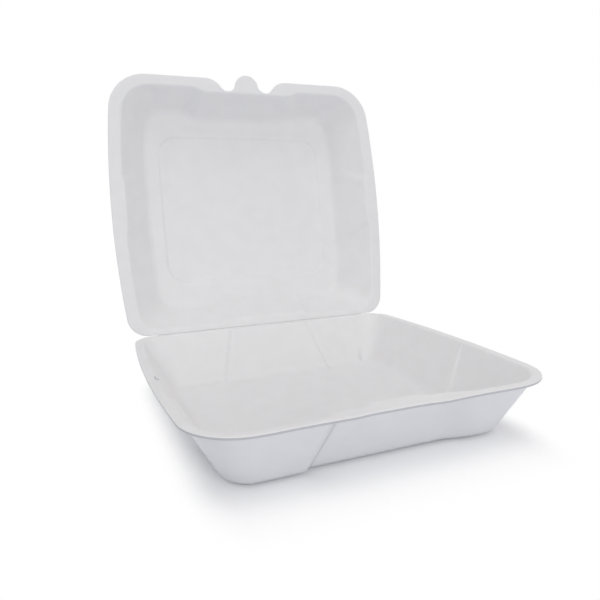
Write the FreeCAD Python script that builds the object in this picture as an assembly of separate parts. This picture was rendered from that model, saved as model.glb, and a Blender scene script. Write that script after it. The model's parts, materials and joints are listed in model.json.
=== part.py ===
"""Hinged foam food container, standing open on a table.

Millimetres, +Z up. The middle of the tray's underside is the origin, the fold runs along X at the back, and
the lid rises from it. Tray and lid are pressed from one foam sheet: each is a shell of even thickness with an
inset panel in every wall. They are parted here only where the lid moves, and the thin fold joins them.
"""
import FreeCAD, Part
import math
import os
from collections import namedtuple

# The foam sheet and how it is pressed
sheet = 2.3
fold_thickness = 0.6
fold_relief = 2.2
fold_end = 1.0
lid_gap = 0.3
open_angle = 100.0
crest_radius = 1.8
step_slope = 1.0

# Tray: rim, mouth and floor. A turn is the angle by which each bowed side has curved at its ends.
tray_width = 230.0
tray_depth = 213.0
tray_height = 39.0
tray_turn = 4.9
tray_hinge_radius = 19.0
tray_front_radius = 32.0
tray_side_flange = 6.0
tray_front_flange = 6.0
tray_hinge_flange = 4.0
tray_mouth_hinge_radius = 17.0
tray_mouth_front_radius = 26.0
tray_floor_width = 178.0
tray_floor_depth = 164.0
tray_floor_hinge_radius = 13.0
tray_floor_front_radius = 15.0
tray_bottom_radius = 3.0

# The seat for the lid's tab in the tray's front edge
seat_setback = 3.0
seat_half_width = 17.0
seat_shoulder = 9.0

# Lid: rim, mouth and top panel
lid_width = 237.0
lid_depth = 208.0
lid_height = 33.0
lid_turn = 6.2
lid_hinge_radius = 16.0
lid_front_radius = 31.0
lid_side_flange = 9.5
lid_front_flange = 8.5
lid_hinge_flange = 4.0
lid_mouth_hinge_radius = 15.0
lid_mouth_front_radius = 24.0
lid_top_width = 176.0
lid_top_depth = 169.0
lid_top_hinge_radius = 16.0
lid_top_front_radius = 18.0
lid_top_radius = 4.5

# The shallow raised field on the lid's top panel
field_width = 146.0
field_depth = 123.0
field_radius = 15.0
field_rise = 1.2
field_edge = 2.4

# The lid's tab, between two scooped notches
tab_radius = 10.0
tab_reach = 4.0
notch_depth = 10.0
notch_radius = 7.0
shoulder_radius = 16.0

# An inset panel: its half width and inset at the rim, and the same at the floor
Recess = namedtuple("Recess", "wall rim_half rim_inset floor_half floor_inset")
tray_recesses = (
    Recess("front", 27.0, 6.0, 42.0, 3.0),
    Recess("hinge", 31.0, 3.0, 42.0, 4.0),
    Recess("left", 17.0, 2.5, 29.0, 4.0),
    Recess("right", 17.0, 2.5, 29.0, 4.0),
)
lid_recesses = (
    Recess("front", 36.0, 4.0, 46.0, 4.0),
    Recess("hinge", 34.0, 3.5, 44.0, 4.5),
    Recess("left", 16.0, 2.5, 27.0, 4.0),
    Recess("right", 16.0, 2.5, 27.0, 4.0),
)

# How far a cutting solid runs past what it cuts
clear = 10.0


def point(x, y, z=0.0):
    return FreeCAD.Vector(x, y, z)


def arc(centre, radius, start, end, z):
    """An arc about a centre, from one angle to another in degrees."""
    on_arc = []
    for angle in (start, (start + end) / 2, end):
        turn = math.radians(angle)
        on_arc.append(point(centre[0] + radius * math.cos(turn), centre[1] + radius * math.sin(turn), z))
    return Part.Arc(*on_arc).toShape()


def straight(half_length, y, z):
    return Part.makeLine(point(-half_length, y, z), point(half_length, y, z))


def mirrored(edges):
    """The same edges on the left."""
    return [edge.mirror(point(0, 0), point(1, 0)) for edge in edges]


class Outline:
    """A rounded rectangle with gently bowed sides, lying between its hinge edge and its front edge."""

    def __init__(self, half_width, y_hinge, y_front, hinge_radius, front_radius, turn):
        self.half_width = half_width
        self.y_hinge = y_hinge
        self.y_front = y_front
        self.hinge_radius = hinge_radius
        self.front_radius = front_radius
        self.turn = turn
        sine = math.sin(math.radians(turn))
        cosine = math.cos(math.radians(turn))
        corners = hinge_radius + front_radius
        self.side_radius = (y_hinge - y_front - corners * (1 - sine)) / (2 * sine)
        self.side_centre = (half_width - self.side_radius,
                            y_hinge - hinge_radius - (self.side_radius - hinge_radius) * sine)
        self.hinge_centre = (self.side_centre[0] + (self.side_radius - hinge_radius) * cosine,
                             y_hinge - hinge_radius)
        self.front_centre = (self.side_centre[0] + (self.side_radius - front_radius) * cosine,
                             y_front + front_radius)

    def grown(self, by):
        """The parallel outline further out, or further in for a negative value."""
        return Outline(self.half_width + by, self.y_hinge + by, self.y_front - by,
                       self.hinge_radius + by, self.front_radius + by, self.turn)

    def reach(self, wall):
        """How far the outline stands from the middle at a wall."""
        return {"front": -self.y_front, "hinge": self.y_hinge}.get(wall, self.half_width)

    def wire(self, z, front_edge=None):
        """The closed outline at a height. front_edge makes the right half of a front that isn't straight."""
        right = [arc(self.hinge_centre, self.hinge_radius, 90, self.turn, z),
                 arc(self.side_centre, self.side_radius, self.turn, -self.turn, z),
                 arc(self.front_centre, self.front_radius, -self.turn, -90, z)]
        ends = [straight(self.hinge_centre[0], self.y_hinge, z)]
        if front_edge is None:
            ends.append(straight(self.front_centre[0], self.y_front, z))
        else:
            right += front_edge(self.front_centre[0], self.y_front, z)
        return Part.Wire(Part.__sortEdges__(ends + right + mirrored(right)))

    def plate(self, z, thickness, front_edge=None):
        return Part.Face(self.wire(z, front_edge)).extrude(point(0, 0, thickness))


def edges_at(solid, z, within):
    """The edges that lie flat at a height, no further from the middle than the given outline."""
    tolerance = 1e-3
    found = []
    for edge in solid.Edges:
        box = edge.BoundBox
        level = abs(box.ZMin - z) < tolerance and abs(box.ZMax - z) < tolerance
        across = max(-box.XMin, box.XMax) < within.half_width + tolerance
        along = box.YMin > within.y_front - tolerance and box.YMax < within.y_hinge + tolerance
        if level and across and along:
            found.append(edge)
    return found


def bowl(mouth, floor, bottom, top, bottom_radius):
    """A solid tub with straight flared walls, rounded where they meet its floor."""
    tub = Part.makeLoft([floor.wire(bottom), mouth.wire(top)], True, True)
    return tub.makeFillet(bottom_radius, edges_at(tub, bottom, floor))


def step_wedge(recess, mouth, floor, bottom, top, widen):
    """The sector of a wall that its inset panel takes: narrow at the rim, wide at the floor."""
    rim_distance = mouth.reach(recess.wall)
    floor_distance = floor.reach(recess.wall)
    rim_half = recess.rim_half + widen
    floor_half = recess.floor_half + widen
    levels = []
    for z in (bottom - clear, top + clear / 2):
        share = (z - bottom) / (top - bottom)
        half = floor_half + (rim_half - floor_half) * share
        inset = recess.floor_inset + (recess.rim_inset - recess.floor_inset) * share
        distance = floor_distance + (rim_distance - floor_distance) * share - inset
        inner = (half - clear * step_slope, -distance + clear)
        outer = (half + 2 * clear * step_slope, -distance - 2 * clear)
        corners = [point(inner[0], inner[1], z), point(outer[0], outer[1], z),
                   point(-outer[0], outer[1], z), point(-inner[0], inner[1], z)]
        levels.append(Part.makePolygon(corners + corners[:1]))
    wedge = Part.makeLoft(levels, True, True)
    turn = {"front": 0, "right": 90, "hinge": 180, "left": 270}[recess.wall]
    wedge.rotate(point(0, 0), point(0, 0, 1), turn)
    return wedge


def with_recesses(make, mouth, floor, bottom, top, recesses, widen):
    """What make builds from a mouth and a floor, with each panel's sector pressed inwards."""
    body = make(mouth, floor)
    for recess in recesses:
        core = make(mouth.grown(-recess.rim_inset), floor.grown(-recess.floor_inset))
        wedge = step_wedge(recess, mouth, floor, bottom, top, widen)
        body = body.cut(wedge.cut(core))
    return body


def field(bottom, top):
    """The shallow rounded rectangle on the lid's top panel, with sloped edges."""
    levels = []
    for z, grow in ((bottom, 0.0), (top, field_edge)):
        half_width = field_width / 2 + grow
        half_depth = field_depth / 2 + grow
        radius = field_radius + grow
        corner = (half_width - radius, half_depth - radius)
        quarter = [arc(corner, radius, 0, 90, z),
                   Part.makeLine(point(corner[0], half_depth, z), point(0, half_depth, z)),
                   Part.makeLine(point(half_width, 0, z), point(half_width, corner[1], z))]
        upper = quarter + mirrored(quarter)
        lower = [edge.mirror(point(0, 0), point(0, 1)) for edge in upper]
        levels.append(Part.Wire(Part.__sortEdges__(upper + lower)))
    return Part.makeLoft(levels, True, True)


def toward(start, end):
    """The direction from one centre to another, in degrees."""
    return math.degrees(math.atan2(end[1] - start[1], end[0] - start[0]))


def seat_edge(front_x, y_front, z):
    """The right half of the tray's front edge, which steps back for the lid's tab."""
    bend = 2 * math.atan(seat_setback / seat_shoulder)
    radius = seat_shoulder / (2 * math.sin(bend))
    turned = math.degrees(bend)
    outer_x = seat_half_width + seat_shoulder
    y_seat = y_front + seat_setback
    return [Part.makeLine(point(front_x, y_front, z), point(outer_x, y_front, z)),
            arc((outer_x, y_front + radius), radius, -90, -90 - turned, z),
            arc((seat_half_width, y_seat - radius), radius, 90 - turned, 90, z),
            Part.makeLine(point(seat_half_width, y_seat, z), point(0, y_seat, z))]


def tab_edge(front_x, y_front, z):
    """The right half of the lid's front edge: shoulder, scooped notch and half of the tab, all tangent."""
    tab = (0, y_front - tab_reach + tab_radius)
    notch_y = y_front + notch_depth - notch_radius
    notch = (math.sqrt((tab_radius + notch_radius) ** 2 - (notch_y - tab[1]) ** 2), notch_y)
    shoulder_y = y_front + shoulder_radius
    aside = math.sqrt((shoulder_radius + notch_radius) ** 2 - (shoulder_y - notch_y) ** 2)
    shoulder = (notch[0] + aside, shoulder_y)
    return [Part.makeLine(point(front_x, y_front, z), point(shoulder[0], y_front, z)),
            arc(shoulder, shoulder_radius, -90, toward(shoulder, notch), z),
            arc(notch, notch_radius, toward(notch, shoulder), toward(notch, tab), z),
            arc(tab, tab_radius, toward(tab, notch), -90, z)]


def thinned_at_fold(shell, rim, height):
    """The shell with its rim tapered, from below, to the thickness of the fold."""
    half = rim.hinge_centre[0]
    y_start = rim.y_hinge - fold_relief
    y_past = rim.y_hinge + clear
    section = [point(-half, y_start, height - sheet),
               point(-half, rim.y_hinge, height - fold_thickness),
               point(-half, y_past, height - fold_thickness),
               point(-half, y_past, height - sheet - clear),
               point(-half, y_start, height - sheet - clear)]
    groove = Part.Face(Part.makePolygon(section + section[:1])).extrude(point(2 * half, 0, 0))
    return shell.cut(groove)


def pressed_shell(rim, mouth, floor, height, recesses, bottom_radius, front_edge, fields=()):
    """A tub of even sheet with a flat rim, its underside at z = 0 and its hinge edge at the back."""
    lean = (mouth.half_width - floor.half_width) / (height - sheet)
    across = sheet * math.hypot(1, lean)
    outer_mouth = mouth.grown(across)
    outer_floor = floor.grown(across - lean * sheet)
    blank = rim.grown(clear)

    def outside(top_outline, bottom_outline):
        tub = bowl(top_outline, bottom_outline, 0, height, bottom_radius + sheet)
        body = tub.fuse(blank.plate(height - sheet, sheet)).removeSplitter()
        return body.makeFillet(crest_radius + sheet, edges_at(body, height - sheet, top_outline))

    def inside(top_outline, bottom_outline):
        tub = bowl(top_outline, bottom_outline, sheet, height, bottom_radius)
        body = tub.fuse(blank.grown(clear).plate(height, clear)).removeSplitter()
        return body.makeFillet(crest_radius, edges_at(body, height, top_outline))

    widen = across * math.tan(math.atan(step_slope) / 2)
    outer = with_recesses(outside, outer_mouth, outer_floor, 0, height, recesses, 0)
    inner = with_recesses(inside, mouth, floor, sheet, height, recesses, widen)
    for rise in fields:
        outer = outer.fuse(field(-rise, 0))
        inner = inner.fuse(field(sheet - rise, sheet))
    trimmed = outer.cut(inner).common(rim.plate(-clear, height + 2 * clear, front_edge))
    return thinned_at_fold(trimmed, rim, height).removeSplitter()


def tray_rim():
    return Outline(tray_width / 2, tray_depth / 2, -tray_depth / 2,
                   tray_hinge_radius, tray_front_radius, tray_turn)


def lid_rim():
    return Outline(lid_width / 2, lid_depth / 2, -lid_depth / 2,
                   lid_hinge_radius, lid_front_radius, lid_turn)


def hinge_axis():
    """A point on the axis: midway between tray rim and closed lid rim, at the tray's back edge."""
    return point(0, tray_depth / 2, tray_height + lid_gap / 2)


def make_tray():
    rim = tray_rim()
    mouth = Outline(rim.half_width - tray_side_flange, rim.y_hinge - tray_hinge_flange,
                    rim.y_front + tray_front_flange,
                    tray_mouth_hinge_radius, tray_mouth_front_radius, tray_turn)
    floor = Outline(tray_floor_width / 2, tray_floor_depth / 2, -tray_floor_depth / 2,
                    tray_floor_hinge_radius, tray_floor_front_radius, tray_turn)
    return pressed_shell(rim, mouth, floor, tray_height, tray_recesses, tray_bottom_radius, seat_edge)


def make_lid():
    """The lid as a tub, then turned about the hinge to where it stands open."""
    rim = lid_rim()
    mouth = Outline(rim.half_width - lid_side_flange, rim.y_hinge - lid_hinge_flange,
                    rim.y_front + lid_front_flange,
                    lid_mouth_hinge_radius, lid_mouth_front_radius, lid_turn)
    top = Outline(lid_top_width / 2, lid_top_depth / 2, -lid_top_depth / 2,
                  lid_top_hinge_radius, lid_top_front_radius, lid_turn)
    lid = pressed_shell(rim, mouth, top, lid_height, lid_recesses, lid_top_radius, tab_edge, (field_rise,))
    lid.rotate(point(0, 0), point(0, 0, 1), 180)
    lid.translate(point(0, lid_depth / 2, -lid_height - lid_gap / 2))
    lid.rotate(point(0, 0), point(1, 0, 0), 180 - open_angle)
    lid.translate(hinge_axis())
    return lid


def make_fold():
    """The thin pressed fold, bent about the hinge axis from the tray's rim round to the lid's."""
    inner = lid_gap / 2
    outer = inner + fold_thickness
    from_tray = -90
    to_lid = 90 - open_angle
    ring = [arc((0, 0), inner, from_tray, to_lid, 0), arc((0, 0), outer, from_tray, to_lid, 0)]
    for angle in (from_tray, to_lid):
        along = point(math.cos(math.radians(angle)), math.sin(math.radians(angle)))
        ring.append(Part.makeLine(along * inner, along * outer))
    half_length = min(tray_rim().hinge_centre[0], lid_rim().hinge_centre[0]) - fold_end
    section = Part.Face(Part.Wire(Part.__sortEdges__(ring)))
    fold = section.extrude(point(0, 0, 2 * half_length))
    # The section's X and Y become Y and Z, and its length lies along X
    fold.rotate(point(0, 0), point(1, 1, 1), 120)
    fold.translate(hinge_axis() - point(half_length, 0, 0))
    return fold


def main():
    os.makedirs("parts", exist_ok=True)
    pieces = {"tray": make_tray(), "lid": make_lid(), "fold_hinge": make_fold()}
    for name, piece in pieces.items():
        piece.exportStep(f"parts/{name}.step")
        print(name, piece.isValid(), len(piece.Solids), f"{piece.Volume:.0f} mm3")


main()
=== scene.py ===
import json
import math
import bpy
import numpy as np
from collections import namedtuple
from mathutils import Matrix, Vector


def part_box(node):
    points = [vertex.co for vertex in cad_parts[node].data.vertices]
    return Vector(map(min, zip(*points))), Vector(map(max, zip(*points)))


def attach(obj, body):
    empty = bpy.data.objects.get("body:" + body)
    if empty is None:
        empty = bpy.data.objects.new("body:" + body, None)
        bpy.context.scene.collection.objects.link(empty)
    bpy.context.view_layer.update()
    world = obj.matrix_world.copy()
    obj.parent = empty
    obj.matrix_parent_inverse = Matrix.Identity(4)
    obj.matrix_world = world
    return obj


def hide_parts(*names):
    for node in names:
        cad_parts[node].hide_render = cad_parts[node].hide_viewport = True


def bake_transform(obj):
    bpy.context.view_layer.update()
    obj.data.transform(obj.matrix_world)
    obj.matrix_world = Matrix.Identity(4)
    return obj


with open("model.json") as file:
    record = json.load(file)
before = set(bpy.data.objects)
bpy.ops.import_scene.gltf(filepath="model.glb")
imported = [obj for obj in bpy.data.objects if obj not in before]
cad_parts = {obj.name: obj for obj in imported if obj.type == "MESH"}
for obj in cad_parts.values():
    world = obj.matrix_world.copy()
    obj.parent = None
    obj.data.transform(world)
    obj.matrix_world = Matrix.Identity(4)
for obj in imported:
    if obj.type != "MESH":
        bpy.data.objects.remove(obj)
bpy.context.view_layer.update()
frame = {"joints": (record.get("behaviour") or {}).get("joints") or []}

mm = 0.001

# Sizes that the frame gives
tray_low, tray_high = (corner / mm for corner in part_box("tray"))
lid_low, lid_high = (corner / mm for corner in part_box("lid"))
hinge_axis = Vector(frame["joints"][0]["pos_m"]) / mm
tray_width = tray_high.x - tray_low.x
tray_depth = 2 * hinge_axis.y
tray_height = tray_high.z
lid_width = lid_high.x - lid_low.x

# The foam sheet, its rounded edges and its bends. An edge's rounding takes at most a share of the
# thickness, and a bend takes at most a share of the shorter side next to it.
sheet = 2.3
rim_thickness = 1.7
edge_top_radius = 0.55
edge_top_share = 0.65
edge_low_radius = 0.2
edge_low_share = 0.3
crest_radius = 2.4
bend_share = 0.48
flat_past_bend = 2.0
fold_thickness = 0.6
lid_gap = 0.3
open_angle = 100.0
touching = 0.01

# Samples round a shell, across it and along the fold
panel_samples = 22
seat_samples = 37
crease_samples = 7
rest_samples = 12
corner_samples = 20
edge_rows = 6
flange_rows = 6
crest_rows = 8
wall_rows = 16
bend_rows = 8
floor_rows = 14
field_rows = 6
fold_turns = 13
fold_places = 61


# Outlines and the panels pressed into the walls
def spaced(start, end, count):
    """Even steps from start, without the end."""
    return np.linspace(start, end, count, endpoint=False)


def eased(share):
    """0 up to a share of 0 and 1 from a share of 1, with a soft change between."""
    share = np.clip(share, 0, 1)
    return share * share * (3 - 2 * share)


class Panel(namedtuple("Panel", "half step inset fade", defaults=(None,))):
    """A wall's inset panel at one height: its half width, the width of its sloped edges and its inset.

    A side panel's edge towards the hinge may fade out over a greater width.
    """

    def stops(self, fading=False):
        return (self.half, self.half + (self.fade if fading and self.fade else self.step))

    def depth_at(self, place):
        before = eased((self.stops()[1] + place) / (self.stops()[1] - self.half))
        behind = eased((self.stops(True)[1] - place) / (self.stops(True)[1] - self.half))
        return self.inset * before * behind

    def flat(self):
        """The same sample places on an outline that the panel doesn't reach."""
        return self._replace(inset=0.0)

    def widened(self, by):
        return self._replace(half=self.half + by)

    def softened(self, by):
        return self._replace(step=self.step + by)


class Outline:
    """A rounded rectangle with gently bowed sides, lying between its hinge edge and its front edge."""

    def __init__(self, half_width, y_hinge, y_front, hinge_radius, front_radius, turn):
        self.half_width = half_width
        self.y_hinge = y_hinge
        self.y_front = y_front
        self.hinge_radius = hinge_radius
        self.front_radius = front_radius
        self.turn = turn
        sine = math.sin(math.radians(turn))
        cosine = math.cos(math.radians(turn))
        corners = hinge_radius + front_radius
        self.side_radius = (y_hinge - y_front - corners * (1 - sine)) / (2 * sine)
        self.side_centre = np.array((half_width - self.side_radius,
                                     y_hinge - hinge_radius - (self.side_radius - hinge_radius) * sine))
        self.hinge_centre = np.array((self.side_centre[0] + (self.side_radius - hinge_radius) * cosine,
                                      y_hinge - hinge_radius))
        self.front_centre = np.array((self.side_centre[0] + (self.side_radius - front_radius) * cosine,
                                      y_front + front_radius))

    def grown(self, by):
        return Outline(self.half_width + by, self.y_hinge + by, self.y_front - by,
                       self.hinge_radius + by, self.front_radius + by, self.turn)

    def corner(self, centre, radius, start, end):
        angle = np.radians(spaced(start, end, corner_samples))
        return centre + radius * np.stack([np.cos(angle), np.sin(angle)], 1)

    def hinge_edge(self, panel):
        inner, outer = panel.stops()
        x = np.concatenate([spaced(0, inner, panel_samples), spaced(inner, outer, crease_samples),
                            spaced(outer, self.hinge_centre[0], rest_samples)])
        return np.stack([x, self.y_hinge - panel.depth_at(x)], 1)

    def front_edge(self, panel, shares):
        inner, outer = panel.stops()
        x = np.concatenate([spaced(self.front_centre[0], outer, rest_samples),
                            spaced(outer, inner, crease_samples), inner * shares])
        return np.stack([x, self.y_front + panel.depth_at(x)], 1)

    def side(self, panel):
        stops = np.array((panel.stops(True)[1], panel.half, -panel.half, -panel.stops()[1]))
        stops = np.degrees(np.arcsin((stops - self.side_centre[1]) / self.side_radius))
        angle = np.radians(np.concatenate([
            spaced(self.turn, stops[0], rest_samples), spaced(stops[0], stops[1], crease_samples),
            spaced(stops[1], stops[2], panel_samples), spaced(stops[2], stops[3], crease_samples),
            spaced(stops[3], -self.turn, rest_samples)]))
        y = self.side_centre[1] + self.side_radius * np.sin(angle)
        radius = (self.side_radius - panel.depth_at(y))[:, None]
        return self.side_centre + radius * np.stack([np.cos(angle), np.sin(angle)], 1)

    def half_loop(self, hinge, side, front, shares, front_edge):
        """The right half, from the middle of the hinge edge to the middle of the front."""
        right = np.concatenate([
            self.hinge_edge(hinge), self.corner(self.hinge_centre, self.hinge_radius, 90, self.turn),
            self.side(side), self.corner(self.front_centre, self.front_radius, -self.turn, -90),
            self.front_edge(front, shares)])
        if front_edge is not None:
            front_edge(self, right)
        return right

    def loop(self, panels, shares, front_edge=None):
        """The closed outline, from the middle of the hinge edge by the right side to the front and back.

        shares places the samples across half of the front panel, and front_edge bends a front that isn't
        straight.
        """
        right = self.half_loop(panels.hinge, panels.side, panels.front, shares, front_edge)
        left = self.half_loop(panels.hinge, panels.side, panels.left_front, shares, front_edge)
        return np.concatenate([right, left[-2:0:-1] * (-1, 1)])


class Panels(namedtuple("Panels", "hinge side front left_front")):
    def flat(self):
        return Panels(*(panel.flat() for panel in self))

    def widened(self, by):
        """The panels on the food side of the sheet, where the left front step is also softer."""
        wider = Panels(*(panel.widened(by) for panel in self))
        return wider._replace(left_front=wider.left_front.softened(2 * by))


def bend(centre, radius, start, end, count):
    """An arc by its centre and its angles in degrees, without its end."""
    angle = np.radians(spaced(start, end, count))
    return centre + radius * np.stack([np.cos(angle), np.sin(angle)], 1)


def toward(start, end):
    """The direction from start to end in degrees."""
    return math.degrees(math.atan2(end[1] - start[1], end[0] - start[0]))


# The seat for the lid's tab in the tray's front edge
seat_setback = 0.6
seat_half_width = 17.0
seat_shoulder = 12.0


def seat_edge(rim, right):
    """Steps the middle of the tray's front edge back for the tab."""
    front = right[:, 1] < rim.y_front + touching
    outer = seat_half_width + seat_shoulder
    right[front, 1] += seat_setback * eased((outer - right[front, 0]) / seat_shoulder)


# The lid's tab between two scooped notches
tab_radius = 10.0
tab_reach = 4.0
notch_depth = 10.0
notch_radius = 7.0
shoulder_radius = 16.0
tab_samples = 13
notch_samples = 16
shoulder_samples = 11


def tab_curve(y_front):
    """The right half of the lid's front: shoulder, notch and tab, each tangent to the next."""
    tab = np.array((0, y_front - tab_reach + tab_radius))
    notch_y = y_front + notch_depth - notch_radius
    notch = np.array((math.sqrt((tab_radius + notch_radius) ** 2 - (notch_y - tab[1]) ** 2), notch_y))
    shoulder_y = y_front + shoulder_radius
    aside = math.sqrt((shoulder_radius + notch_radius) ** 2 - (shoulder_y - notch_y) ** 2)
    shoulder = np.array((notch[0] + aside, shoulder_y))
    return np.concatenate([
        bend(shoulder, shoulder_radius, -90, toward(shoulder, notch), shoulder_samples),
        bend(notch, notch_radius, toward(notch, shoulder), toward(notch, tab), notch_samples),
        bend(tab, tab_radius, toward(tab, notch), -90, tab_samples),
        [(0, tab[1] - tab_radius)]])


def tab_edge(rim, right):
    """Gives the middle of the lid's front edge its notches and its tab."""
    curve = tab_curve(rim.y_front)
    right[-len(curve):] = curve


# Shells
def at_height(points, z):
    return np.column_stack([points, np.broadcast_to(z, len(points))])


def unit(vectors):
    return vectors / np.linalg.norm(vectors, axis=-1, keepdims=True)


def between(start, end, count):
    """Rows of points from start towards end, without either."""
    shares = np.linspace(0, 1, count + 2)[1:-1]
    return [start + (end - start) * share for share in shares]


def rounded(before, corner, after, radius, count):
    """Rows of points round the bend of a path that goes from before over corner to after."""
    back = unit(before - corner)
    onward = unit(after - corner)
    half = np.arccos(np.clip((back * onward).sum(1, keepdims=True), -1, 1)) / 2
    room = np.minimum(np.linalg.norm(before - corner, axis=1), np.linalg.norm(after - corner, axis=1))
    reach = np.minimum(radius / np.tan(half), bend_share * room[:, None])
    centre = corner + unit(back + onward) * reach / np.cos(half)
    start = corner + back * reach - centre
    end = corner + onward * reach - centre
    turn = math.pi - 2 * half
    return [centre + (start * np.sin((1 - share) * turn) + end * np.sin(share * turn)) / np.sin(turn)
            for share in np.linspace(0, 1, count)]


Tub = namedtuple("Tub", "rim mouth floor height mouth_panels floor_panels bottom_radius "
                        "front_edge shares field")
Field = namedtuple("Field", "outer inner panels rise")


def skin(tub, rim, grow, drop, widen, crest, bottom):
    """One face of the sheet, from the rim's edge to near the middle of the floor, as rows of points."""
    mouth_panels = tub.mouth_panels.widened(widen)
    floor_panels = tub.floor_panels.widened(widen)
    mouth = at_height(tub.mouth.grown(grow).loop(mouth_panels, tub.shares), tub.height - drop)
    floor_z = sheet - drop
    floor = at_height(tub.floor.grown(grow).loop(floor_panels, tub.shares), floor_z)
    past_bend = tub.floor.grown(grow - 2 * bottom - flat_past_bend)
    inward = at_height(past_bend.loop(floor_panels, tub.shares), floor_z)
    top_bend = rounded(rim, mouth, floor, crest, crest_rows)
    low_bend = rounded(mouth, floor, inward, bottom, bend_rows)
    rows = [rim] + between(rim, top_bend[0], flange_rows) + top_bend
    rows += between(top_bend[-1], low_bend[0], wall_rows) + low_bend
    if tub.field is None:
        middle = np.array((0.0, 0.0, floor_z))
        return rows + between(low_bend[-1], middle, floor_rows), middle
    outer = at_height(tub.field.outer.loop(tub.field.panels, tub.shares), floor_z)
    inner = at_height(tub.field.inner.loop(tub.field.panels, tub.shares), floor_z)
    rows += between(low_bend[-1], outer, floor_rows // 2) + [outer]
    for share in np.linspace(0, 1, field_rows + 2)[1:]:
        step = outer + (inner - outer) * share
        step[:, 2] = floor_z - tub.field.rise * eased(share)
        rows.append(step)
    middle = np.array((0.0, 0.0, floor_z - tub.field.rise))
    return rows + between(rows[-1], middle, floor_rows // 2), middle


def outward(loop):
    """Unit normals of a closed plan outline that runs clockwise."""
    tangent = np.roll(loop, -1, axis=0) - np.roll(loop, 1, axis=0)
    return unit(np.stack([-tangent[:, 1], tangent[:, 0]], 1))


def pressed_shell(tub):
    """Rows of a closed shell, from the middle of the food side over the rim's edge to the underside."""
    rim = tub.rim.loop(tub.mouth_panels.flat(), tub.shares, tub.front_edge)
    normal = outward(rim)
    at_fold = (tub.rim.y_hinge - rim[:, 1] < touching) & (np.abs(rim[:, 0]) < tub.rim.hinge_centre[0])
    thickness = np.where(at_fold, fold_thickness, rim_thickness)
    top_radius = np.minimum(edge_top_radius, edge_top_share * thickness)
    low_radius = np.minimum(edge_low_radius, edge_low_share * thickness)

    def edge_row(turn, radius, face_z, way):
        """The rim's edge where the rounding of one face has turned so far from flat, in radians."""
        setback = radius * (1 - math.sin(turn))
        return at_height(rim - normal * setback[:, None], face_z + way * radius * (1 - math.cos(turn)))

    turns = np.linspace(0, math.pi / 2, edge_rows)
    upper = [edge_row(turn, top_radius, tub.height, -1) for turn in turns]
    lower = [edge_row(turn, low_radius, tub.height - thickness, 1) for turn in turns]
    # The outer face lies proud of the inner one, and the inner face's panels are wider. This keeps a leaning
    # wall and a panel's sloped edge a sheet thick.
    lean = (tub.mouth.half_width - tub.floor.half_width) / (tub.height - sheet)
    proud = sheet * (math.hypot(1, lean) - lean)
    widen = sheet * math.hypot(1, lean) * math.tan(math.pi / 8)
    inside, inside_middle = skin(tub, upper[0], grow=0.0, drop=0.0, widen=widen, crest=crest_radius,
                                 bottom=tub.bottom_radius)
    outside, outside_middle = skin(tub, lower[0], grow=proud, drop=sheet, widen=0.0,
                                   crest=crest_radius + sheet, bottom=tub.bottom_radius + sheet)
    rows = inside[:0:-1] + upper + lower[::-1] + outside[1:]
    return np.array(rows), inside_middle, outside_middle


def shell_object(name, tub, relief, place):
    """The shell as a mesh in the frame. relief moves its points, and place is its matrix in millimetres."""
    rows, first, last = pressed_shell(tub)
    count, around = rows.shape[:2]
    points = np.concatenate([[first], rows.reshape(-1, 3), [last]])
    outside = np.arange(len(points)) > 1 + (count // 2 + edge_rows) * around
    # relief also gives each point's share of the dark colour: painted shade in creases, and the nick.
    points, nick_and_shade_amounts = relief(points, outside)
    at = 1 + np.arange(count * around).reshape(count, around)
    onward = np.roll(at, -1, axis=1)
    quads = np.stack([at[:-1], onward[:-1], onward[1:], at[1:]], -1).reshape(-1, 4)
    end = len(points) - 1
    faces = [tuple(quad) for quad in quads.tolist()]
    faces += [(0, b, a) for a, b in zip(at[0].tolist(), onward[0].tolist())]
    faces += [(end, a, b) for a, b in zip(at[-1].tolist(), onward[-1].tolist())]
    mesh = bpy.data.meshes.new(name)
    mesh.from_pydata(points.tolist(), [], faces)
    # The rim's cut edge takes a darker colour, for its rough cells and as painted shade under its rounding.
    cut_and_shade = np.zeros(len(points))
    cut_and_shade[1 + (count // 2 - 1) * around:1 + (count // 2 + edge_rows) * around] = 1.0
    for label, values in (("cut_edge_and_shade", cut_and_shade), ("nick_and_painted_shade", nick_and_shade_amounts)):
        mask = mesh.attributes.new(label, "FLOAT", "POINT")
        mask.data.foreach_set("value", values)
    mesh.transform(Matrix.Scale(mm, 4) @ place)
    mesh.polygons.foreach_set("use_smooth", [True] * len(mesh.polygons))
    mesh.update()
    piece = bpy.data.objects.new(name, mesh)
    bpy.context.scene.collection.objects.link(piece)
    return piece


# The small dips of the tray's front lip, as place, half width and depth, and where the lip begins
lip_dips = ((-73.0, 9.0, 0.2), (-29.0, 7.0, 0.15), (27.0, 13.0, 0.45), (70.0, 12.0, 0.2))
lip_back = -92.0
lip_back_fade = 10.0
lip_low = 30.0
lip_low_fade = 6.0

# The nick in the left rim: the line it follows in plan, and how far it goes down through the rim
nick_line = ((-109.7, 1.0), (-110.1, -4.0), (-108.8, -5.0), (-108.3, -3.0), (-107.8, -2.2))
nick_width = 0.28
nick_stretch = 3.0
nick_depth = 0.5
nick_reach = 1.9

# The bold crease of the front wall: its distance left of the middle and its half width, at rim and floor
# The crease's groove also takes the dark colour, as painted shade.
crease_top = 33.4
crease_low = 44.4
crease_top_width = 2.04
crease_low_width = 1.19
crease_depth = 0.6
crease_back = -70.0
crease_foot = 1.5

# The ledge under the tab's seat, on the food side of the front wall
ledge_left = -16.0
ledge_right = 22.0
ledge_step = 3.5
ledge_drop = 9.0
ledge_inset = 4.0
ledge_setback = 2.0
ledge_setback_fade = 4.0
ledge_back = -80.0
ledge_back_fade = 6.0

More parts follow.
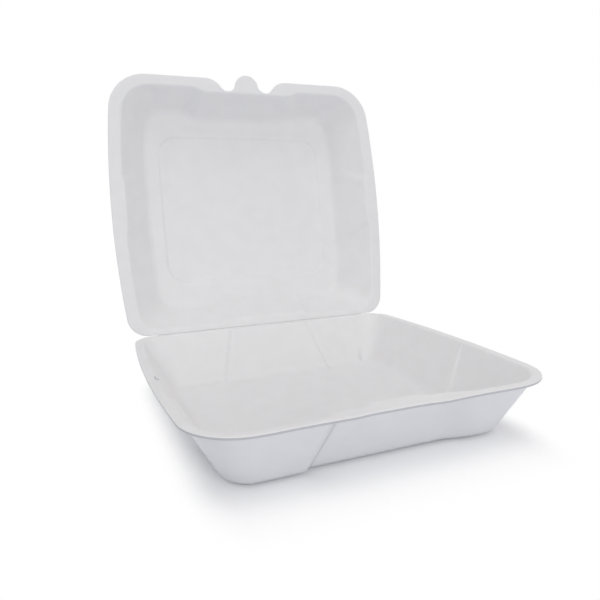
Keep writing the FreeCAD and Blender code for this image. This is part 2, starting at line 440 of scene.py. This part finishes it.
# The pleat in the back right corner: its foot in plan, its lean, its size and the painted shade in it
pleat_place = (77.6, 82.0)
pleat_lean = 0.2
pleat_width = 1.4
pleat_top = 16.8
pleat_fade = 14.0
pleat_front_fade = 4.0
pleat_depth = 1.1
pleat_shade = 0.25


def hump(offset, width):
    """1 at no offset, falling off softly over about its width."""
    return np.exp(-(offset / width) ** 2)


def line_distance(points, line, stretch):
    """How far points lie in plan from a line through several places, with y counted a stretch shorter."""
    scale = np.array((1, 1 / stretch))
    nearest = np.full(len(points), np.inf)
    for start, end in zip(np.array(line[:-1]) * scale, np.array(line[1:]) * scale):
        along = end - start
        reach = points[:, :2] * scale - start
        share = np.clip(reach @ along / (along @ along), 0, 1)
        nearest = np.minimum(nearest, np.linalg.norm(reach - share[:, None] * along, axis=1))
    return nearest


def tray_relief(points, outside):
    """Moves the tray's points for its small features, and gives each point's painted shade and nick
    darkening.
    """
    points = points.copy()
    drop = (tray_height - points[:, 2]) / (tray_height - sheet)
    across = points[:, 0] + crease_top + (crease_low - crease_top) * drop
    # The groove's mask also paints shade into the crease with the dark colour.
    groove_and_shade = hump(across, crease_top_width + (crease_low_width - crease_top_width) * drop)
    groove_and_shade *= outside * (points[:, 1] < crease_back) * (points[:, 2] > crease_foot)
    points[:, 1] += crease_depth * groove_and_shade
    at_lip = eased((lip_back - points[:, 1]) / lip_back_fade)
    at_lip *= eased((points[:, 2] - lip_low) / lip_low_fade)
    for place, width, depth in lip_dips:
        points[:, 2] -= depth * at_lip * hump(points[:, 0] - place, width)
    nick = hump(line_distance(points, nick_line, nick_stretch), nick_width)
    nick *= points[:, 2] > tray_height - nick_reach
    points[:, 2] -= nick_depth * nick
    pleat = hump(points[:, 0] - pleat_place[0] - pleat_lean * points[:, 2], pleat_width)
    pleat *= eased((pleat_top - points[:, 2]) / pleat_fade)
    pleat *= eased((points[:, 1] - pleat_place[1] + pleat_front_fade) / pleat_front_fade)
    points[:, 1] += pleat_depth * pleat
    ledge = eased((points[:, 0] - ledge_left) / ledge_step)
    ledge *= eased((ledge_right - points[:, 0]) / ledge_step)
    ledge *= eased((points[:, 1] + tray_depth / 2 - ledge_setback) / ledge_setback_fade)
    ledge *= eased((ledge_back - points[:, 1]) / ledge_back_fade)
    ledge *= eased((points[:, 2] - tray_height + ledge_drop) / ledge_drop)
    points[:, 1] += ledge_inset * ledge
    # The nick takes the dark colour, and the crease and the pleat take it as painted shade.
    return points, np.maximum(nick, np.maximum(pleat_shade * pleat, groove_and_shade))


def lid_relief(points, outside):
    """The lid's points stay where they are, and none is painted darker."""
    return points, np.zeros(len(points))


# Tray: how far its mouth lies inside the rim's edge, and half the size of its floor
tray_side_flange = 6.0
tray_hinge_flange = 4.0
tray_front_flange = 6.0
tray_floor_width = 89.0
tray_floor_depth = 82.0
tray_bottom_radius = 8.0
tray_mouth_panels = Panels(
    hinge=Panel(half=31.0, step=3.0, inset=3.0), side=Panel(half=13.5, step=2.4, inset=0.3, fade=30.0),
    front=Panel(half=27.0, step=25.0, inset=5.0), left_front=Panel(half=34.5, step=2.2, inset=5.0))
tray_floor_panels = Panels(
    hinge=Panel(half=42.0, step=3.0, inset=4.0), side=Panel(half=27.0, step=2.0, inset=4.2, fade=30.0),
    front=Panel(half=42.0, step=25.0, inset=3.6), left_front=Panel(half=45.5, step=1.8, inset=3.6))


def make_tray():
    rim = Outline(tray_width / 2, tray_depth / 2, -tray_depth / 2,
                  hinge_radius=19.0, front_radius=32.0, turn=4.9)
    mouth = Outline(rim.half_width - tray_side_flange, rim.y_hinge - tray_hinge_flange,
                    rim.y_front + tray_front_flange, hinge_radius=17.0, front_radius=26.0, turn=rim.turn)
    floor = Outline(tray_floor_width, tray_floor_depth, -tray_floor_depth,
                    hinge_radius=13.0, front_radius=15.0, turn=rim.turn)
    tub = Tub(rim, mouth, floor, tray_height, tray_mouth_panels, tray_floor_panels, tray_bottom_radius,
              front_edge=seat_edge, shares=np.linspace(1, 0, seat_samples), field=None)
    return shell_object("tray_shell", tub, tray_relief, Matrix.Identity(4))


# Lid: its size, how far its mouth lies inside the rim's edge, and half the size of its top and of the
# raised field there
lid_depth = 208.0
lid_height = 33.0
lid_side_flange = 9.5
lid_hinge_flange = 4.0
lid_front_flange = 8.5
lid_top_width = 88.0
lid_top_depth = 84.5
lid_top_radius = 7.0
field_width = 73.0
field_depth = 61.5
field_radius = 15.0
field_edge = 2.4
field_rise = 1.2
lid_tab_panel = Panel(half=tab_curve(-lid_depth / 2)[0, 0], step=9.0, inset=3.5)
lid_mouth_panels = Panels(
    hinge=Panel(half=33.0, step=8.0, inset=3.0), side=Panel(half=16.0, step=6.5, inset=1.9),
    front=lid_tab_panel, left_front=lid_tab_panel)
lid_top_panels = Panels(
    hinge=Panel(half=38.0, step=13.0, inset=5.5), side=Panel(half=27.0, step=12.0, inset=1.0),
    front=Panel(half=39.0, step=12.0, inset=6.0), left_front=Panel(half=34.0, step=24.0, inset=5.5))
field_panel = Panel(half=30.0, step=5.0, inset=0.0)


def make_lid():
    """The lid, shaped as a tub and then turned over on to the hinge. Its left half comes to the right."""
    rim = Outline(lid_width / 2, lid_depth / 2, -lid_depth / 2,
                  hinge_radius=16.0, front_radius=31.0, turn=6.2)
    mouth = Outline(rim.half_width - lid_side_flange, rim.y_hinge - lid_hinge_flange,
                    rim.y_front + lid_front_flange, hinge_radius=15.0, front_radius=24.0, turn=rim.turn)
    top = Outline(lid_top_width, lid_top_depth, -lid_top_depth,
                  hinge_radius=16.0, front_radius=18.0, turn=rim.turn)
    inner = Outline(field_width, field_depth, -field_depth, field_radius, field_radius, turn=0.6)
    field = Field(inner.grown(field_edge), inner, Panels(*[field_panel] * 4), field_rise)
    curve = tab_curve(rim.y_front)
    tub = Tub(rim, mouth, top, lid_height, lid_mouth_panels, lid_top_panels, lid_top_radius,
              front_edge=tab_edge, shares=curve[:, 0] / curve[0, 0], field=field)
    place = (Matrix.Translation(hinge_axis) @ Matrix.Rotation(math.radians(180 - open_angle), 4, "X")
             @ Matrix.Translation((0, lid_depth / 2, -lid_height - lid_gap / 2))
             @ Matrix.Rotation(math.pi, 4, "Z"))
    return shell_object("lid_shell", tub, lid_relief, place)


# Fold
fold_half_length = 91.5


def make_fold():
    """The thin pressed fold, bent about the hinge axis from the tray's rim round to the lid's."""
    inner = lid_gap / 2
    outer = inner + fold_thickness
    angles = np.radians(np.linspace(-90, 90 - open_angle, fold_turns))
    places = np.linspace(-fold_half_length, fold_half_length, fold_places)
    arc = np.stack([np.cos(angles), np.sin(angles)], 1)
    ring = np.concatenate([arc * inner, arc[::-1] * outer])
    points = [(x, hinge_axis.y + y, hinge_axis.z + z) for x in places for y, z in ring]
    around = len(ring)
    faces = []
    for k in range(len(places) - 1):
        for j in range(around):
            a = k * around + j
            b = k * around + (j + 1) % around
            faces.append((a, b, b + around, a + around))
    faces.append(tuple(range(around))[::-1])
    faces.append(tuple(range(len(points) - around, len(points))))
    mesh = bpy.data.meshes.new("fold_strip")
    mesh.from_pydata([tuple(c * mm for c in point) for point in points], [], faces)
    mesh.update()
    piece = bpy.data.objects.new("fold_strip", mesh)
    bpy.context.scene.collection.objects.link(piece)
    return piece


# Foam: soft patches of shade and of sheen, waves, pebbles and the closed cells, in millimetres
patch_size = 14.0
sheen_size = 5.0
wave_size = 11.0
wave_depth = 0.25
pebble_size = 1.6
pebble_roughness = 0.6
pebble_depth = 0.05
cell_size = 0.7
cell_depth = 0.03
relief_strength = 0.5
noise_low = 0.3
noise_high = 0.7
paler = 1.012
duller = 0.985
sheen_low = 0.36
sheen_high = 0.48
glow_weight = 0.3
glow_depth = 2.0
glow_spread = (1.0, 0.95, 0.9)
foam_ior = 1.45

# Linear colours of the sheet, of its cut edge and of the dark colour for painted shade and the nick
# The cut edge is darker for its rough cut cells, and its colour also paints the shade under the rim's
# rounding.
foam_colours = ((0.895, 0.89, 0.893), (0.60, 0.60, 0.62), (0.45, 0.45, 0.47))
pressed_colours = ((0.82, 0.82, 0.83), (0.80, 0.80, 0.81), (0.30, 0.30, 0.32))


# Where a mix node has its colours among its inputs and outputs
first_colour = 6
second_colour = 7
mixed_colour = 2


def colour_mix(tree, factor, first, second):
    """A colour between two others, each a tuple or a socket."""
    node = tree.nodes.new("ShaderNodeMix")
    node.data_type = "RGBA"
    tree.links.new(factor, node.inputs["Factor"])
    for socket, value in ((node.inputs[first_colour], first), (node.inputs[second_colour], second)):
        if isinstance(value, tuple):
            socket.default_value = (*value, 1)
        else:
            tree.links.new(value, socket)
    return node.outputs[mixed_colour]


def foam_material(name, colour, cut_and_shade_colour, nick_and_shade_colour):
    material = bpy.data.materials.new(name)
    material.use_nodes = True
    tree = material.node_tree
    nodes, links = tree.nodes, tree.links
    shader = nodes["Principled BSDF"]
    where = nodes.new("ShaderNodeTexCoord")

    def noise(size, detail, roughness=0.5):
        texture = nodes.new("ShaderNodeTexNoise")
        texture.inputs["Scale"].default_value = 1 / (size * mm)
        texture.inputs["Detail"].default_value = detail
        texture.inputs["Roughness"].default_value = roughness
        links.new(where.outputs["Object"], texture.inputs["Vector"])
        return texture.outputs["Fac"]

    def ramp(source, low_value, high_value):
        """Spreads a noise over a range of values."""
        node = nodes.new("ShaderNodeMapRange")
        node.inputs["From Min"].default_value = noise_low
        node.inputs["From Max"].default_value = noise_high
        node.inputs["To Min"].default_value = low_value
        node.inputs["To Max"].default_value = high_value
        links.new(source, node.inputs["Value"])
        return node.outputs["Result"]

    def bump(height, depth, under=None):
        node = nodes.new("ShaderNodeBump")
        node.inputs["Distance"].default_value = depth * mm
        node.inputs["Strength"].default_value = relief_strength
        links.new(height, node.inputs["Height"])
        if under is not None:
            links.new(under, node.inputs["Normal"])
        return node.outputs["Normal"]

    cells = nodes.new("ShaderNodeTexVoronoi")
    cells.feature = "SMOOTH_F1"
    cells.inputs["Scale"].default_value = 1 / (cell_size * mm)
    links.new(where.outputs["Object"], cells.inputs["Vector"])
    # The cut edge's mask: its rough cells and the painted shade under the rim's rounding
    cut_and_shade = nodes.new("ShaderNodeAttribute")
    cut_and_shade.attribute_name = "cut_edge_and_shade"
    # The mask of the dark colour: painted shade in the crease and the pleat, and the darkened nick
    nick_and_painted_shade = nodes.new("ShaderNodeAttribute")
    nick_and_painted_shade.attribute_name = "nick_and_painted_shade"

    pale = tuple(min(1.0, c * paler) for c in colour)
    dull = tuple(c * duller for c in colour)
    body = colour_mix(tree, ramp(noise(patch_size, detail=3), 0.0, 1.0), dull, pale)
    # Darkens the cut edge, for its cells and as painted shade.
    with_cut_and_shade = colour_mix(tree, cut_and_shade.outputs["Fac"], body, cut_and_shade_colour)
    # Paints shade into the crease and the pleat, and darkens the nick.
    with_nick_and_shade = colour_mix(tree, nick_and_painted_shade.outputs["Fac"], with_cut_and_shade, nick_and_shade_colour)
    links.new(with_nick_and_shade, shader.inputs["Base Color"])
    links.new(ramp(noise(sheen_size, detail=2), sheen_low, sheen_high), shader.inputs["Roughness"])
    waves = bump(noise(wave_size, detail=2), wave_depth)
    pebbles = bump(noise(pebble_size, detail=3, roughness=pebble_roughness), pebble_depth, waves)
    links.new(bump(cells.outputs["Distance"], cell_depth, pebbles), shader.inputs["Normal"])
    shader.inputs["Subsurface Weight"].default_value = glow_weight
    shader.inputs["Subsurface Radius"].default_value = glow_spread
    shader.inputs["Subsurface Scale"].default_value = glow_depth * mm
    shader.inputs["IOR"].default_value = foam_ior
    return material


# Stage, in metres. The shadow is kept round a core, and a way sideways from it counts for more.
floor_reach = 6.0
floor_colour = (0.80, 0.83, 0.89)
floor_seen = (1.2, 1.2, 1.2)
sky_colour = (0.545, 0.541, 0.547)
white = (1, 1, 1)
shadow_core = (0.085, 0.07, 0)
shadow_stretch = (2.4, 1, 0)
shadow_near = 0.015
shadow_far = 0.07
lamp_target = (0, 0, 0.08)


def make_floor():
    """A pale floor. Seen directly it is white, with the object's own shadow kept round its foot."""
    mesh = bpy.data.meshes.new("floor")
    corners = [(x * floor_reach, y * floor_reach, 0) for x, y in ((-1, -1), (1, -1), (1, 1), (-1, 1))]
    mesh.from_pydata(corners, [], [(0, 1, 2, 3)])
    floor = bpy.data.objects.new("floor", mesh)
    bpy.context.scene.collection.objects.link(floor)
    material = bpy.data.materials.new("floor_white")
    material.use_nodes = True
    tree = material.node_tree
    nodes, links = tree.nodes, tree.links
    nodes.remove(nodes["Principled BSDF"])
    direct = seen_directly(nodes, links)
    diffuse = nodes.new("ShaderNodeBsdfDiffuse")
    links.new(colour_mix(tree, direct, floor_colour, floor_seen), diffuse.inputs["Color"])
    where = nodes.new("ShaderNodeTexCoord")

    def vector(operation, source, other=None):
        node = nodes.new("ShaderNodeVectorMath")
        node.operation = operation
        links.new(source, node.inputs[0])
        if other is not None:
            node.inputs[1].default_value = other
        return node

    aside = vector("ABSOLUTE", where.outputs["Object"])
    beyond = vector("SUBTRACT", aside.outputs["Vector"], shadow_core)
    outside = vector("MAXIMUM", beyond.outputs["Vector"], (0, 0, 0))
    flat = vector("MULTIPLY", outside.outputs["Vector"], shadow_stretch)
    away = nodes.new("ShaderNodeMapRange")
    away.interpolation_type = "SMOOTHSTEP"
    away.inputs["From Min"].default_value = shadow_near
    away.inputs["From Max"].default_value = shadow_far
    links.new(vector("LENGTH", flat.outputs["Vector"]).outputs["Value"], away.inputs["Value"])
    both = nodes.new("ShaderNodeMath")
    both.operation = "MULTIPLY"
    links.new(away.outputs["Result"], both.inputs[0])
    links.new(direct, both.inputs[1])
    glow = nodes.new("ShaderNodeEmission")
    mix = nodes.new("ShaderNodeMixShader")
    links.new(both.outputs[0], mix.inputs["Fac"])
    links.new(diffuse.outputs["BSDF"], mix.inputs[1])
    links.new(glow.outputs["Emission"], mix.inputs[2])
    links.new(mix.outputs["Shader"], nodes["Material Output"].inputs["Surface"])
    mesh.materials.append(material)


def seen_directly(nodes, links):
    """1 for rays that show the background: from the camera, a reflection or a clear part."""
    path = nodes.new("ShaderNodeLightPath")
    total = path.outputs["Is Camera Ray"]
    for name in ("Is Glossy Ray", "Is Transmission Ray"):
        add = nodes.new("ShaderNodeMath")
        add.operation = "MAXIMUM"
        links.new(total, add.inputs[0])
        links.new(path.outputs[name], add.inputs[1])
        total = add.outputs[0]
    return total


def make_world():
    """Even light from all round, and white where it is seen directly."""
    world = bpy.data.worlds.new("studio")
    world.use_nodes = True
    tree = world.node_tree
    colour = colour_mix(tree, seen_directly(tree.nodes, tree.links), sky_colour, white)
    tree.links.new(colour, tree.nodes["Background"].inputs["Color"])
    bpy.context.scene.world = world


def area_light(name, place, size, power):
    """A round lamp that looks at the container."""
    lamp = bpy.data.lights.new(name, "AREA")
    lamp.shape = "DISK"
    lamp.size = size
    lamp.energy = power
    holder = bpy.data.objects.new(name, lamp)
    holder.location = place
    holder.rotation_euler = (Vector(lamp_target) - Vector(place)).to_track_quat("-Z", "Y").to_euler()
    bpy.context.scene.collection.objects.link(holder)


# Camera
def make_camera():
    """The camera of the photograph, which looks from the left front, a little from above."""
    place = Vector((-152.75, -335.49, 145.69)) * mm
    turn, dip, roll = (math.radians(angle) for angle in (22.60, 10.49, 0.91))
    focal = 557.0
    frame_width = 600
    sensor = 36.0
    forward = Vector((math.sin(turn) * math.cos(dip), math.cos(turn) * math.cos(dip), -math.sin(dip)))
    right = forward.cross(Vector((0, 0, 1))).normalized()
    down = forward.cross(right)
    across = math.cos(roll) * right + math.sin(roll) * down
    upward = math.sin(roll) * right - math.cos(roll) * down
    camera = bpy.data.cameras.new("camera")
    camera.sensor_width = sensor
    camera.lens = focal * sensor / frame_width
    camera.clip_start = 0.01
    holder = bpy.data.objects.new("camera", camera)
    axes = Matrix((across, upward, -forward)).transposed().to_4x4()
    holder.matrix_world = Matrix.Translation(place) @ axes
    bpy.context.scene.collection.objects.link(holder)
    bpy.context.scene.camera = holder


def dress(piece, body, node, material):
    """Gives a piece its material and the body it moves with, and hides the node that it stands for."""
    piece.data.materials.append(material)
    if body:
        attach(piece, body)
    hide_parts(node)


# The container and its stage
foam = foam_material("foam_white", *foam_colours)
pressed = foam_material("foam_pressed", *pressed_colours)
dress(make_tray(), "tray", "tray", foam)
dress(make_lid(), "lid", "lid", foam)
fold = make_fold()
dress(fold, None, "fold_hinge", pressed)
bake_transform(fold)
make_floor()
make_world()
area_light("above", place=(-0.3, -0.2, 1.4), size=1.1, power=3.3)
area_light("front", place=(0.1, -1.4, 0.4), size=0.8, power=3.4)
make_camera()
bpy.context.scene.view_settings.view_transform = "Standard"
